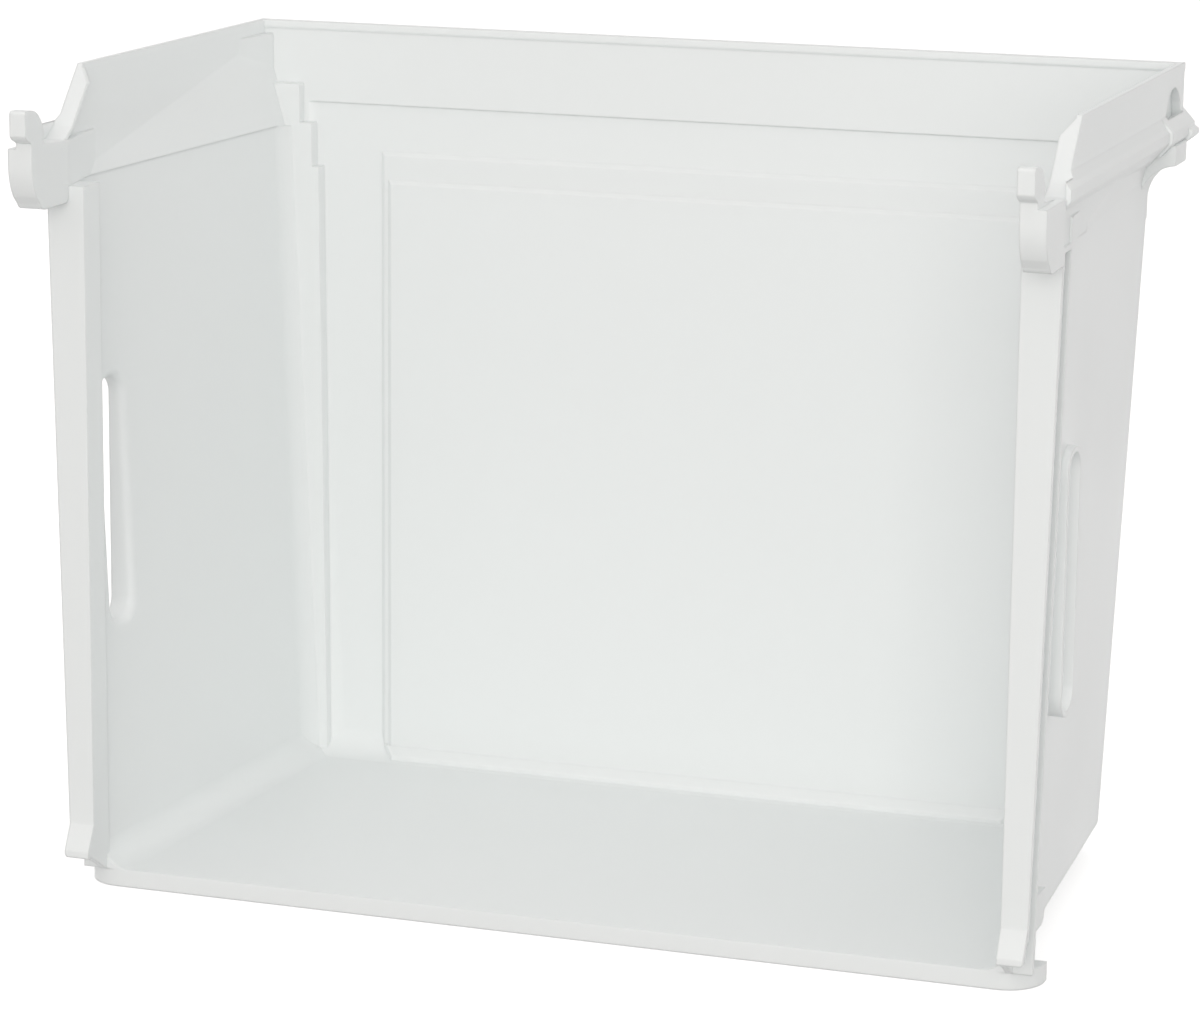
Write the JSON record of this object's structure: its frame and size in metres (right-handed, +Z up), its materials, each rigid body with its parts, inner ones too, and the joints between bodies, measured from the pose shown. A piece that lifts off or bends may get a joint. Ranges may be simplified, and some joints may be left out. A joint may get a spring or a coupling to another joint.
{
  "type": "freezer drawer",
  "caption": "White moulded freezer drawer body with an open front, runner rails along its upper sides, forward hook arms and grip slots in its side walls.",
  "frame": {"origin": "bottom centre of the bounds, under the middle of the drawer", "axes": "+X to the right seen from the open front, +Y to the back wall, +Z up"},
  "size_m": [0.4532, 0.2688, 0.36],
  "materials": {
    "body": "satin white injection-moulded polystyrene"
  },
  "bodies": {
    "root": {"drawer_body": "body"}
  },
  "joints": []
}
